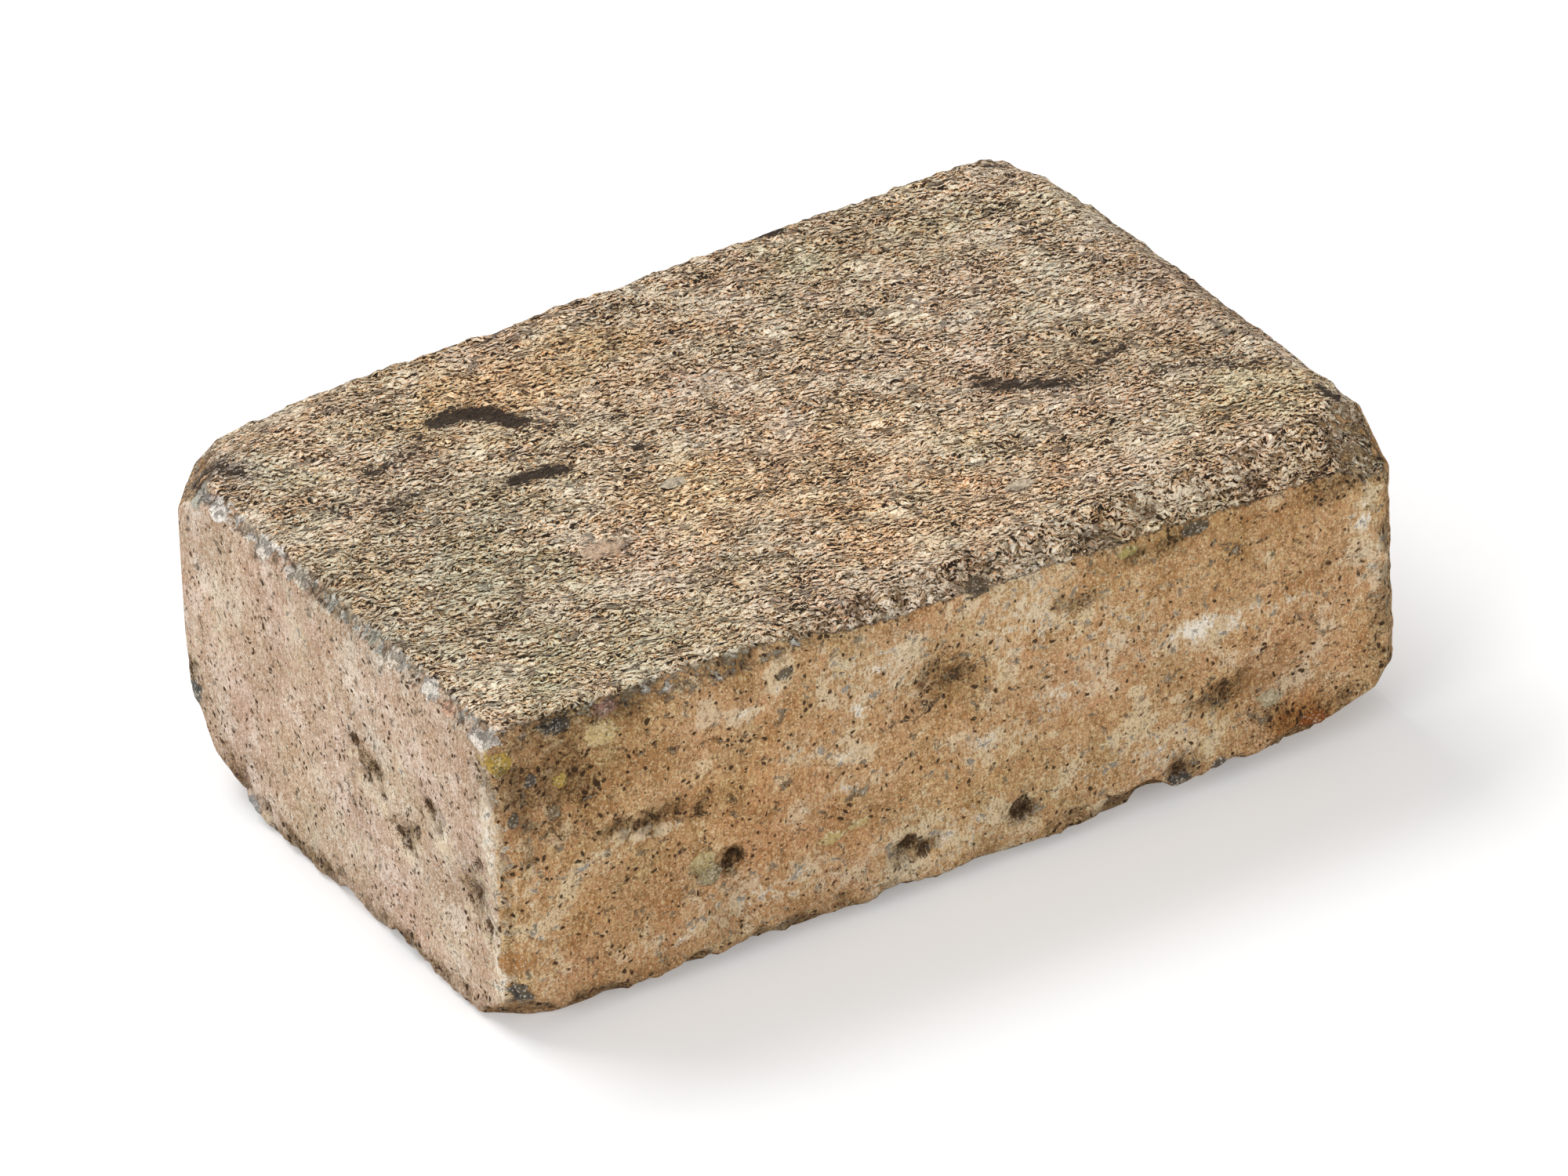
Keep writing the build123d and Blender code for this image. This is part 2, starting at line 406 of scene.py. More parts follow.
# Stones that show in the faces: face, along, up, half length, half height and colour
SHOWN_STONES = (
    ("front", 25.3, 62.0, 4.2, 3.2, "#d8bd86"),
    ("front", 2.2, 63.5, 3.4, 2.6, "#c7a64f"),
    ("front", 15.9, 54.6, 1.9, 1.8, "#d0ae55"),
    ("front", 9.0, 57.0, 1.6, 1.6, "#5f5a51"),
    ("front", 13.5, 48.5, 1.8, 1.6, "#8f7a5c"),
    ("front", 4.0, 50.5, 1.8, 2.0, "#5f5648"),
    ("front", 16.0, 67.2, 4.2, 2.4, "#454643"),
    ("front", 27.0, 67.5, 3.4, 1.8, "#9d7767"),
    ("front", 46.4, 22.6, 3.4, 2.2, "#a39673"),
    ("front", 117.0, 10.2, 2.6, 2.0, "#9a7a55"),
    ("front", 177.9, 15.4, 3.2, 2.0, "#b8aa88"),
    ("front", 161.3, 62.0, 3.4, 1.8, "#5a4f3f"),
    ("front", 111.1, 65.6, 3.0, 1.7, "#5c5140"),
    ("front", 145.7, 62.0, 2.6, 1.4, "#b6a765"),
    ("front", 155.2, 5.2, 2.8, 2.0, "#4c4c4d"),
    ("front", 164.5, 5.6, 2.0, 1.6, "#57524a"),
    ("front", 187.0, 7.4, 3.6, 2.8, "#a55d22"),
    ("front", 74.3, 21.3, 3.6, 1.6, "#c9b077"),
    ("front", 81.0, 22.3, 2.8, 1.0, "#c6ae78"),
    ("front", 44.8, 26.3, 3.4, 3.0, "#bda978"),
    ("front", 3.4, 8.4, 2.4, 3.0, "#4a4f4e"),
    ("front", 1.5, 3.0, 3.4, 1.8, "#2f2a25"),
    ("top", 54.9, 50.4, 6.0, 3.0, "#d9b89a"),
    ("top", 79.3, 64.1, 3.0, 2.0, "#cfc0a8"),
    ("top", 134.5, 22.8, 3.4, 2.2, "#dcc8ac"),
    ("front", 65.7, 62.5, 2.2, 1.4, "#5c5242"),
    ("front", 2.6, 11.8, 2.4, 1.8, "#4a4641"),
    ("left", 138.5, 18.0, 2.4, 2.8, "#b5824c"),
    ("left", 38.0, 2.9, 2.6, 2.4, "#8d8f8e"),
    ("left", 16.3, 19.7, 3.0, 2.6, "#5f625f"),
    ("left", 132.5, 67.0, 4.0, 2.0, "#f3e9dc"),
    ("left", 120.0, 67.6, 2.6, 1.6, "#dfb092"),
    ("left", 112.5, 68.2, 3.8, 1.8, "#f6eee2"),
    ("left", 98.5, 68.0, 3.0, 1.8, "#efe0cc"),
    ("left", 90.0, 68.4, 2.2, 1.6, "#a8a594"),
    ("left", 62.0, 68.4, 3.4, 1.6, "#e8dcc8"),
    ("left", 47.5, 68.2, 3.0, 2.0, "#f2e8da"),
    ("left", 30.0, 68.0, 3.4, 2.0, "#f7f0e6"),
    ("left", 21.0, 67.0, 3.0, 2.4, "#b5b3a6"),
)


# Depth from which a pit counts in full for its colour, the painted shade inside it, in mm
DARK_PIT_DEPTH = 1.4
# How far a patch reaches into the block from its face, in mm
PATCH_REACH = 10.0
# How far below the top face a charcoal stain still shows, in mm
STAIN_REACH = 12.0
# Faces that the photo hides, and the rim of each that chance entries stay clear of, in mm
HIDDEN_FACES = ("back", "right")
CHANCE_RIM = 6.0


def pit_depths(points, pits):
    """How far each point sinks in the pits, in mm, and how deep inside one it lies: 1 in
    the middle, 0 on the rim and less outside. A pit is the bowl depth × (1 - r²)², with r
    the distance from its middle in radii, and r is bent by noise so that no pit is round."""
    bend = 0.55 * rough_grain(points, 3.0, 41)
    depth = np.zeros(len(points))
    inside = np.full(len(points), -1.0)
    for face, along, up, radius, deep in pits:
        away = np.linalg.norm(points - on_face(face, along, up), axis=1) / radius
        bowl = np.clip(1 - (away + bend * (away < 3)) ** 2, 0, 1) ** 2
        depth = np.maximum(depth, deep * np.where(away < 1.6, bowl, 0))
        inside = np.maximum(inside, (1 - away) * min(deep / DARK_PIT_DEPTH, 1))
    return depth, inside


def patches(points, entries):
    """The strongest of some flattened blobs at each point: its strength in a blob's middle,
    0 at its rim and less outside. Each is a face, along, up, half length and half height,
    and a strength where that isn't 1."""
    field = np.full(len(points), -1.0)
    for face, along, up, long, tall, *strength in entries:
        offset = points - on_face(face, along, up)
        run = offset[:, 0] if face in ("front", "back", "top") else offset[:, 1]
        rise = offset[:, 1] if face == "top" else offset[:, 2]
        aside = offset[:, 2] if face == "top" else offset[:, 1 if face in ("front", "back") else 0]
        away = np.sqrt((run / long) ** 2 + (rise / tall) ** 2 + (aside / PATCH_REACH) ** 2)
        field = np.maximum(field, (1 - away) * (strength or [1.0])[0])
    return field


def area_tint(points):
    """What the tinted areas and broad noise do to red, green and blue at each point. An
    area counts in full in its middle and not at all past its rim."""
    tint = 1 + 0.03 * hue_fields(points, 26.0, 23) + 0.07 * rough_grain(points, 22.0, 29, 4, 0.6)[:, None]
    wander = 0.5 * rough_grain(points, 12.0, 61, 4, 0.6)
    for *area, factors in TINTED_AREAS:
        share = smooth_step(patches(points, [area]) + wander, -0.15, 0.65)[:, None]
        tint[:, :3] *= 1 + share * (np.array(factors) - 1)
    return tint


def stained(points):
    """How deep each point is in a charcoal stain: the stain's strength on its line, 0 at
    its rim, less outside. The distance to a line is that to its nearest straight stretch."""
    field = np.full(len(points), -1.0)
    flat = points[:, :2] - LOW[:2]
    for line, half_width, strength in CHARCOAL_STAINS:
        for start, end in zip(line[:-1], line[1:]):
            start, way = np.array(start), np.array(end) - np.array(start)
            share = np.clip((flat - start) @ way / (way @ way), 0, 1)
            away = np.linalg.norm(flat - start - share[:, None] * way, axis=1)
            field = np.maximum(field, (1 - away / half_width) * strength)
    return np.where(points[:, 2] > HIGH[2] - STAIN_REACH, field, -1.0)


def store(mesh, name, values, kind="FLOAT"):
    """Writes one value, or one colour, for each vertex as a named attribute."""
    data = mesh.attributes.new(name, kind, "POINT").data
    data.foreach_set("value" if kind == "FLOAT" else "color", np.asarray(values, float).ravel())


def scattered(faces, count, low, high, seed):
    """Chance entries for faces that the photo hides: count on each face, with a place
    inside the face's rim and two measures between low and high, in mm."""
    rng = np.random.default_rng(seed)
    entries = []
    for face in faces:
        wide, tall = SIZE[0] if face == "back" else SIZE[1], SIZE[2]
        for spot, measures in zip(rng.uniform(size=(count, 2)), rng.uniform(low, high, (count, 2))):
            along, up = CHANCE_RIM + spot * (wide - 2 * CHANCE_RIM, tall - 2 * CHANCE_RIM)
            entries.append((face, along, up, *measures))
    return entries


def near_edge(points, axes, signs, reach):
    """1 on one edge of the block's box, falling to 0 at this distance from it in mm. The
    edge is where the faces on these two axes and sides meet."""
    corner = [HIGH[axis] if sign > 0 else LOW[axis] for axis, sign in zip(axes, signs)]
    return 1 - smooth_step(np.linalg.norm(points[:, list(axes)] - corner, axis=1), reach / 3, reach)


# Relief of the worn edges and of the faces, in mm
WAVES = 0.40
FRINGE = 0.50
SCOOPS = 0.9
KNOBS = 0.35
FACE_WAVES = 0.10
# Roughness of broken concrete, how far it lies back, and how far a shown stone stands out
BROKEN_GRAIN = 0.30
BROKEN_DEPTH = 0.25
STONE_RISE = 0.40
# How high the lower rim is nibbled, and up to which height above the floor
NIBBLE = 4.6
NIBBLE_REACH = 12.0
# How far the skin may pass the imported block's box
PAST_BOX = 0.3
# Drop from the lip below a pit, which gets a painted highlight for the light it catches, to the pit
LEDGE_DROP = 1.4


def shape_concrete(piece, wear, seed):
    """Gives the fitted skin its relief and writes what the finish needs to know.
    A vertex moves along its normal by worn waves, scoops and knobs near the edges, low
    waves on the faces, and pits, all in mm. The underside's rim is nibbled upwards."""
    places = fit_to_solid(piece)
    normals = read_back(piece.data, "vector")
    middle = (LOW + HIGH) / 2
    gaps = np.sort(SIZE / 2 - np.abs(places - middle), axis=1)
    edge = 1 - smooth_step(gaps[:, 1], 1.0, 10.0)
    near_upright = near_edge(places, (0, 1), (-1, -1), 9.0)
    far_upright = near_edge(places, (0, 1), (-1, 1), 16.0)
    edge *= 1 - 0.4 * near_upright + 0.6 * far_upright
    knocked = smooth_step(gaps[:, 0], 0.25, 1.3)
    top = smooth_step(normals[:, 2], 0.45, 0.9)
    under = smooth_step(-normals[:, 2], 0.6, 0.9)

    waves = WAVES * rough_grain(places, 14.0, seed, 4, 0.68)
    fringe = FRINGE * rough_grain(places, 4.0, seed + 70, 2, 0.8)
    bent = places + 2.2 * rough_grain(places, 7.0, seed + 9, 2)[:, None]
    scoop_way, scoop_number = nearest_stone(bent, 15.0, seed + 4)
    scoops = smooth_step(scoop_way, 0.42, 0.12) * SCOOPS * (scoop_number > 0.55)
    knob_way, knob_number = nearest_stone(bent, 4.2, seed + 5)
    knobs = smooth_step(knob_way, 0.5, 0.2) * KNOBS * (knob_number > 0.5)
    hidden_pits = scattered(HIDDEN_FACES, 12, 1.4, 2.8, seed + 50)
    depth, pit = pit_depths(places, PITS + tuple(hidden_pits))
    hidden_crumbles = scattered(HIDDEN_FACES, 9, 3.0, 9.0, seed + 55)
    crumble = patches(places, CRUMBLED + tuple(hidden_crumbles))
    crumble = smooth_step(crumble + 0.6 * rough_grain(places, 6.0, seed + 56, 4, 0.65), 0.0, 0.7)
    rough = np.maximum(knocked * (1 - top) * (0.25 + 0.75 * edge), crumble)
    shown = patches(places, [stone[:5] for stone in SHOWN_STONES])

    move = edge * wear * (waves + fringe - scoops + knobs * knocked)
    move += (1 - edge) * FACE_WAVES * rough_grain(places, 18.0, seed + 30, 3, 0.6)
    move += top * FACE_WAVES * rough_grain(places * (0.5, 1.0, 1.0), 4.0, seed + 20, 2)
    move += rough * (BROKEN_GRAIN * rough_grain(places, 4.2, seed + 33, 2, 0.7) - BROKEN_DEPTH)
    move += STONE_RISE * smooth_step(shown, -0.05, 0.35) * (1 - top)
    move -= depth
    move *= 1 - 0.9 * under * (1 - knocked)
    shaped = places + normals * move[:, None]
    rim = 1 - smooth_step(gaps[:, 1], 3.0, 9.0)
    nibbles = np.clip(rough_grain(places * (1.0, 1.0, 0.0), 13.0, seed + 14, 2), 0, 1)
    shaped[:, 2] += NIBBLE * wear * nibbles * rim * smooth_step(places[:, 2], NIBBLE_REACH, 3.0)
    shaped = np.clip(shaped, LOW - PAST_BOX, HIGH + PAST_BOX)
    shaped[:, 2] = np.maximum(shaped[:, 2], LOW[2])
    piece.data.vertices.foreach_set("co", (shaped / MM).ravel())
    piece.data.update()

    blooms = LIME_BLOOMS + tuple(scattered(HIDDEN_FACES, 9, 2.0, 8.0, seed + 60))
    # Crumbs along the left end's upper edge, the left half of the front's upper edge, the
    # upright edge between the two, and the left end's lower edge
    left_half = 1 - smooth_step(places[:, 0] - LOW[0], 100.0, 140.0)
    crumbs = near_edge(places, (0, 2), (-1, 1), 4.8)
    crumbs += 0.52 * left_half * near_edge(places, (1, 2), (-1, 1), 7.0)
    crumbs += 0.5 * near_edge(places, (0, 1), (-1, -1), 6.0)
    crumbs += 0.4 * near_edge(places, (0, 2), (-1, -1), 7.0)
    store(piece.data, "struck_top", smooth_step(normals[:, 2], 0.50, 0.86))
    store(piece.data, "crumbs", np.clip(crumbs, 0, 1))
    store(piece.data, "broken", rough)
    # Painted shade where the skin sinks in
    store(piece.data, "sunk_shade", np.clip(0.5 - 0.8 * move, 0, 1))
    store(piece.data, "pit", pit)
    # Painted highlight on the lip below each pit
    store(piece.data, "ledge_highlight", pit_depths(places + (0.0, 0.0, LEDGE_DROP), PITS)[1] - pit)
    store(piece.data, "long_side", smooth_step(np.abs(normals[:, 1]), 0.22, 0.55))
    store(piece.data, "charcoal", stained(places))
    store(piece.data, "lime", patches(places, blooms))
    store(piece.data, "stone", shown)
    store(piece.data, "stone_colour", nearest_colour(places), "FLOAT_COLOR")
    store(piece.data, "zone", hue_fields(places, 9.0, seed + 80), "FLOAT_COLOR")
    store(piece.data, "tint", area_tint(places), "FLOAT_COLOR")
    store(piece.data, "bend", hue_fields(places, 4.0, seed + 100), "FLOAT_COLOR")


def nearest_colour(points):
    """The colour of the shown stone that each point lies deepest in."""
    colours = np.full((len(points), 4), 0.3)
    best = np.full(len(points), -1.0)
    for stone in SHOWN_STONES:
        field = patches(points, [stone[:5]])
        closer = field > best
        best = np.where(closer, field, best)
        colours[closer] = linear(stone[5])
    return colours


def hue_fields(points, size, seed):
    """Three separate fields of noise about zero, as red, green and blue."""
    fields = [rough_grain(points, size, seed + 3 * band, 3, 0.6) for band in range(3)]
    return np.stack([*fields, np.zeros(len(points))], -1)


# Finish


def add_node(tree, kind, inputs=None, **settings):
    """Adds a node of this kind with these settings. Inputs maps a socket's name or number
    to a value, or to the output of another node that it is linked to."""
    made = tree.nodes.new(kind)
    for name, value in settings.items():
        setattr(made, name, value)
    for socket, value in (inputs or {}).items():
        if isinstance(value, bpy.types.NodeSocket):
            tree.links.new(value, made.inputs[socket])
        else:
            made.inputs[socket].default_value = value
    return made


def concrete_finish(settings):
    """Pigmented concrete of crushed and rounded stones, pressed semi-dry and tumbled. The
    struck top is open and coarse, with hollows between its grains painted dark as shade and
    painted highlights on the slopes beside them; the sides are smooth from the mould, with
    drag marks, pinholes painted dark as shade and a bloom of lime; knocked edges and
    corners are broken, sandy and show the stones. Pits get painted shade, the lip below
    each a painted highlight."""
    finish = bpy.data.materials.new("tumbled_pigmented_concrete")
    finish.use_nodes = True
    tree = finish.node_tree
    tree.nodes.clear()

    def add(kind, inputs=None, **node_settings):
        return add_node(tree, kind, inputs, **node_settings)

    def share_of(value, start, full, strength=1.0):
        return add(
            "ShaderNodeMapRange",
            {0: value, 1: start, 2: full, 3: 0.0, 4: strength},
            interpolation_type="SMOOTHSTEP",
        ).outputs[0]

    # Each layer: the value that places it, where it starts, where it is full, its strength
    # and its colour
    def paint(base, layers):
        for value, start, full, strength, colour in layers:
            share = share_of(value, start, full, strength)
            colour = linear(colour) if isinstance(colour, str) else colour
            base = add("ShaderNodeMix", {0: share, 6: base, 7: colour}, data_type="RGBA").outputs[2]
        return base

    def sum_of(value, times, plus):
        return add("ShaderNodeMath", {0: value, 1: times, 2: plus}, operation="MULTIPLY_ADD").outputs[0]

    known = {
        name: add("ShaderNodeAttribute", attribute_name=name).outputs
        for name in (
            "struck_top", "crumbs", "broken", "sunk_shade", "pit", "ledge_highlight", "long_side", "charcoal",
            "lime", "stone", "stone_colour", "zone", "tint", "bend",
        )
    }
    zone = add("ShaderNodeSeparateColor", {0: known["zone"]["Color"]}).outputs

    # Places in mm, and the same bent by about half a millimetre, so that no streak runs
    # straight
    place = add("ShaderNodeTexCoord").outputs["Object"]
    mm = add("ShaderNodeVectorMath", {0: place, "Scale": MM}, operation="SCALE").outputs[0]
    bent = add(
        "ShaderNodeVectorMath",
        {0: known["bend"]["Vector"], 1: (1.1, 1.1, 1.1), 2: mm},
        operation="MULTIPLY_ADD",
    ).outputs[0]

    # Grain patterns: name, stretch along X, Y and Z, shift in mm, size in mm, detail and
    # roughness. The lip is the streak seen a third of a millimetre further back, and the
    # brow is the gouge seen twice as far back. Their differences are the slopes that place
    # the top's painted shade and painted highlight.
    grains = settings.grain_size
    pattern = {}
    curl = bent
    for name, stretch, shift, size, detail, rough in (
        ("wisp", (0.8, 1.0, 1.0), (0.0, 0.0, 0.0), 2.4 * grains, 5.0, 0.70),
        ("streak", (0.80, 1.0, 1.9), (0.0, 0.0, 0.0), 1.1 * grains, 2.0, 0.6),
        ("lip", (0.80, 1.0, 1.9), (0.13, 0.28, 0.0), 1.1 * grains, 2.0, 0.6),
        ("gouge", (0.70, 1.0, 1.5), (0.0, 0.0, 0.0), 2.3 * grains, 3.0, 0.6),
        ("brow", (0.70, 1.0, 1.5), (0.25, 0.55, 0.0), 2.3 * grains, 3.0, 0.6),
        ("sand", (1.0, 1.0, 0.9), (0.0, 0.0, 0.0), 0.50, 2.0, 0.7),
        ("drag", (1.0, 1.0, 0.28), (0.0, 0.0, 0.0), 0.70, 4.0, 0.7),
        ("speck", (0.9, 1.0, 0.8), (0.0, 0.0, 0.0), 1.1, 2.0, 0.62),
    ):
        source = {"streak": curl, "lip": curl, "sand": mm, "drag": mm}.get(name, bent)
        moved = add("ShaderNodeVectorMath", {0: source, 1: shift}).outputs[0]
        drawn = add("ShaderNodeVectorMath", {0: moved, 1: stretch}, operation="MULTIPLY").outputs[0]
        pattern[name] = add(
            "ShaderNodeTexNoise", {"Vector": drawn, "Scale": 1 / size, "Detail": detail, "Roughness": rough}
        ).outputs
        if name == "wisp":
            curl = add(
                "ShaderNodeVectorMath",
                {0: pattern["wisp"]["Color"], 1: (0.9, 0.9, 0.9), 2: bent},
                operation="MULTIPLY_ADD",
            ).outputs[0]
    hue, dust, grit = (
        add("ShaderNodeSeparateColor", {0: pattern[name]["Color"]}).outputs
        for name in ("wisp", "sand", "speck")
    )
    slope, wide_slope = (
        sum_of(pattern[near]["Fac"], -1.0, pattern[far]["Fac"])
        for near, far in (("streak", "lip"), ("gouge", "brow"))
    )
    # Zones with ragged borders, and a raggedness of its own for every other border
    ragged_zone = [sum_of(hue[band], 2.2, sum_of(zone[band], 1.0, -1.1)) for band in range(3)]
    ragged = sum_of(pattern["wisp"]["Fac"], 5.0, -2.6)
    fine_ragged = sum_of(pattern["sand"]["Fac"], 2.4, sum_of(pattern["speck"]["Fac"], 2.6, -2.5))
    # Mottling of the sides, pale where it is high and brown where it is low
    spread = sum_of(known["lime"]["Fac"], 0.32, sum_of(zone[0], -1.0, -1.2))
    mottle = sum_of(fine_ragged, 0.30, sum_of(hue[2], 2.6, spread))

    # Cells, each with the distance to its middle and a number of its own. One holds a stone
    # of the crumbled edges, a pinhole or a grain of sand.
    cells = {}
    for name, size in (("stones", 2.2), ("pinholes", 1.4), ("sand", 0.40)):
        source = mm if name == "sand" else bent
        found = add("ShaderNodeTexVoronoi", {"Vector": source, "Scale": 1 / size}).outputs
        number = add("ShaderNodeSeparateColor", {0: found["Color"]}).outputs[0]
        cells[name] = (found["Distance"], number)
    sand_number = cells["sand"][1]

    # The top: sandy tan, olive, warm and cream in turn. Where a slope of the grain falls away
    # from the light it gets painted shade in short dark marks, which chance breaks up, and the
    # slope beside it a pale painted highlight; low streaks get painted shade of hollows too.
    emboss_light = sum_of(grit[0], 0.30, sum_of(zone[2], 0.045, slope))
    top_colour = paint(
        settings.top_colour[:],
        (
            (ragged_zone[0], 0.15, 0.60, 0.45, "#a2926a"),
            (ragged_zone[1], 0.15, 0.60, 0.60, "#dba273"),
            (ragged_zone[2], 0.15, 0.60, 0.50, "#e6d0b2"),
            (hue[0], 0.47, 0.38, 0.45, "#9d7547"),
            (grit[1], 0.54, 0.62, 0.48, "#d9a281"),
            (grit[2], 0.54, 0.62, 0.70, "#efdcc0"),
            (grit[1], 0.46, 0.38, 0.60, "#93794f"),
            # Painted highlight and painted shade of the wide and fine slopes, and painted shade in the
            # hollows
            (wide_slope, 0.085, 0.150, 0.30, "#f4dfc2"),
            (wide_slope, -0.075, -0.130, 0.60, "#7a5a38"),
            (emboss_light, 0.172, 0.217, 0.95, "#fff1d8"),
            (emboss_light, 0.135, 0.090, 0.70, "#66492b"),
            (emboss_light, 0.109, 0.086, 0.98, settings.hollow_shade_colour[:]),
            (pattern["streak"]["Fac"], 0.35, 0.29, 0.60, "#46341f"),
            (wide_slope, -0.120, -0.165, 0.90, settings.hollow_shade_colour[:]),
        ),
    )

    # The sides: ochre on the long faces and pale pinkish beige on the ends
    end_colour = paint(
        settings.end_colour[:],
        (
            (ragged_zone[0], 0.1, 0.7, 0.45, "#c9a78b"),
            (ragged_zone[1], 0.1, 0.7, 0.40, "#bba68f"),
            (ragged_zone[2], 0.15, 0.6, 0.50, "#e9dac8"),
            (mottle, 0.30, 0.50, 0.45, "#eee0cf"),
            (mottle, -0.35, -0.60, 0.45, "#ab8968"),
            (pattern["drag"]["Fac"], 0.53, 0.62, 0.50, "#ecddcb"),
            (pattern["drag"]["Fac"], 0.47, 0.39, 0.45, "#a38466"),
            (grit[0], 0.44, 0.37, 0.50, "#92714f"),
            (sand_number, 0.20, 0.08, 0.50, "#8b6b4b"),
            (sand_number, 0.84, 0.94, 0.40, "#f6ecdf"),
            (dust[0], 0.44, 0.34, 0.62, "#8b6b4b"),
            (dust[1], 0.57, 0.68, 0.60, "#fbf2e6"),
        ),
    )
    long_colour = paint(
        settings.front_colour[:],
        (
            (ragged_zone[0], 0.1, 0.6, 0.42, "#c68f56"),
            (ragged_zone[1], 0.1, 0.6, 0.40, "#a08557"),
            (ragged_zone[2], 0.1, 0.6, 0.45, "#cc9d72"),
            (hue[1], 0.52, 0.62, 0.40, "#d8bb8d"),
            (mottle, 0.34, 0.50, 0.66, "#e6d2b0"),
            (mottle, -0.35, -0.55, 0.50, "#9d6f40"),
            (pattern["drag"]["Fac"], 0.53, 0.63, 0.52, "#dfc28b"),
            (pattern["drag"]["Fac"], 0.46, 0.38, 0.52, "#87643c"),
            (grit[0], 0.44, 0.37, 0.45, "#7c5a34"),
            (sand_number, 0.18, 0.08, 0.48, "#6b4e2e"),
            (sand_number, 0.84, 0.94, 0.48, "#ecd7ac"),
            (dust[0], 0.44, 0.34, 0.52, "#6b4e2e"),
            (dust[1], 0.57, 0.68, 0.50, "#f1deb9"),
        ),
    )
    side_colour = paint(end_colour, ((known["long_side"]["Fac"], 0.1, 0.9, 1.0, long_colour),))

    # Broken concrete: browner and sandier, with open grain
    broken_colour = paint(
        side_colour,
        (
            (ragged, -0.9, 0.3, 0.45, "#98703f"),
            (sand_number, 0.74, 0.84, 0.75, "#dcbc88"),
            (grit[2], 0.56, 0.66, 0.50, "#dcc093"),
            (sand_number, 0.26, 0.16, 0.70, "#62472a"),
            (grit[1], 0.45, 0.38, 0.60, "#5e4327"),
        ),
    )
    broken = sum_of(ragged, 0.8, known["broken"]["Fac"])
    side_colour = paint(side_colour, ((broken, 0.25, 0.85, 1.0, broken_colour),))

    # Pinholes, which crowd where the concrete has crumbled. Chance sets each one's radius.
    # Each is painted dark brown as the shade inside it, with lighter painted shade towards its rim.
    hole_distance, hole_number = cells["pinholes"]
    hole_size = sum_of(hole_number, -0.54, sum_of(zone[1], -0.08, hole_distance))
    pinhole = sum_of(known["broken"]["Fac"], -0.17, sum_of(dust[2], 0.32, hole_size))
    side_colour = paint(
        side_colour,
        ((pinhole, 0.05, -0.07, 0.60, "#8f6b45"), (pinhole, -0.05, -0.12, 0.94, "#3e2b19")),
    )

    # Crumbs of stone on the knocked edges, each of one colour, with dark joints
    stone_distance, stone_number = cells["stones"]
    crumb_colour = paint(
        side_colour,
        (
            (stone_number, -0.02, 0.00, 0.80, "#e2cdb2"),
            (stone_number, 0.26, 0.27, 0.85, "#d8b292"),
            (stone_number, 0.42, 0.43, 0.85, "#cdb99d"),
            (stone_number, 0.50, 0.51, 0.95, "#fff9ee"),
            (stone_number, 0.86, 0.87, 0.85, "#7c6752"),
            (stone_number, 0.93, 0.94, 0.80, "#cf9a7c"),
            (stone_distance, 0.62, 0.80, 0.42, "#6b543d"),
            (sand_number, 0.24, 0.14, 0.55, "#6b543d"),
        ),
    )
    crumbs = sum_of(ragged, 0.6, known["crumbs"]["Fac"])

    # Top and sides meet in a ragged border
    top_share = share_of(sum_of(ragged, 0.7, known["struck_top"]["Fac"]), 0.25, 0.75)
    ground = paint(
        side_colour,
        ((top_share, 0.0, 1.0, 1.0, top_colour), (crumbs, 0.45, 0.75, 0.85, crumb_colour)),
    )
    tinted = add(
        "ShaderNodeMix",
        {0: 1.0, 6: ground, 7: known["tint"]["Color"]},
        data_type="RGBA",
        blend_type="MULTIPLY",
    ).outputs[2]

    # Lime that has bloomed in wisps on the sides, and in a thin wash beside them
    wiped = sum_of(pattern["drag"]["Fac"], 2.2, sum_of(dust[2], 1.2, -1.7))
    bloom = sum_of(ragged, 1.2, add("ShaderNodeMath", {0: wiped, 1: known["lime"]["Fac"]}).outputs[0])
    # Stains, stones and pits, each in its own place. The pits are painted dark as their shade,
    # the lip below each gets a painted highlight, and sunken skin gets painted shade.
    stain = sum_of(ragged, 0.6, sum_of(fine_ragged, 0.3, known["charcoal"]["Fac"]))
    stone = sum_of(ragged, 0.3, sum_of(fine_ragged, 0.25, known["stone"]["Fac"]))
    stone_colour = paint(
        known["stone_colour"]["Color"],
        ((sand_number, 0.24, 0.14, 0.40, "#4f3d2b"), (sand_number, 0.78, 0.90, 0.45, "#f4e8d3")),
    )
    # Painted shade inside the pits
    pit_share = share_of(sum_of(ragged, 0.40, sum_of(fine_ragged, 0.45, known["pit"]["Fac"])), 0.24, 0.42)
    pit_shade_colour = paint(
        linear("#5f442a"),
        ((sand_number, 0.45, 0.30, 0.90, "#271a0f"), (sand_number, 0.70, 0.85, 0.70, "#9a7750")),
    )
    colour = paint(
        tinted,
        (
            (bloom, -0.15, 0.65, 0.62, settings.lime_colour[:]),
            (bloom, 0.50, 1.05, 0.85, "#f6ecdc"),
            (stain, -0.10, 0.50, 0.45, "#6b5548"),
            (stain, 0.16, 0.30, 0.94, "#35291f"),
            (stone, -0.08, 0.02, 0.35, "#553f29"),
            (stone, 0.02, 0.14, 0.88, stone_colour),
            # Painted highlight on the lip below each pit
            (sum_of(fine_ragged, 0.4, known["ledge_highlight"]["Fac"]), 0.25, 0.60, 0.55, "#ecd9b9"),
            # Painted shade inside the pits
            (pit_share, 0.0, 1.0, 0.90, pit_shade_colour),
            # Painted shade where the skin sinks in
            (known["sunk_shade"]["Fac"], 0.5, 1.1, 0.45, "#5c4329"),
        ),
    )

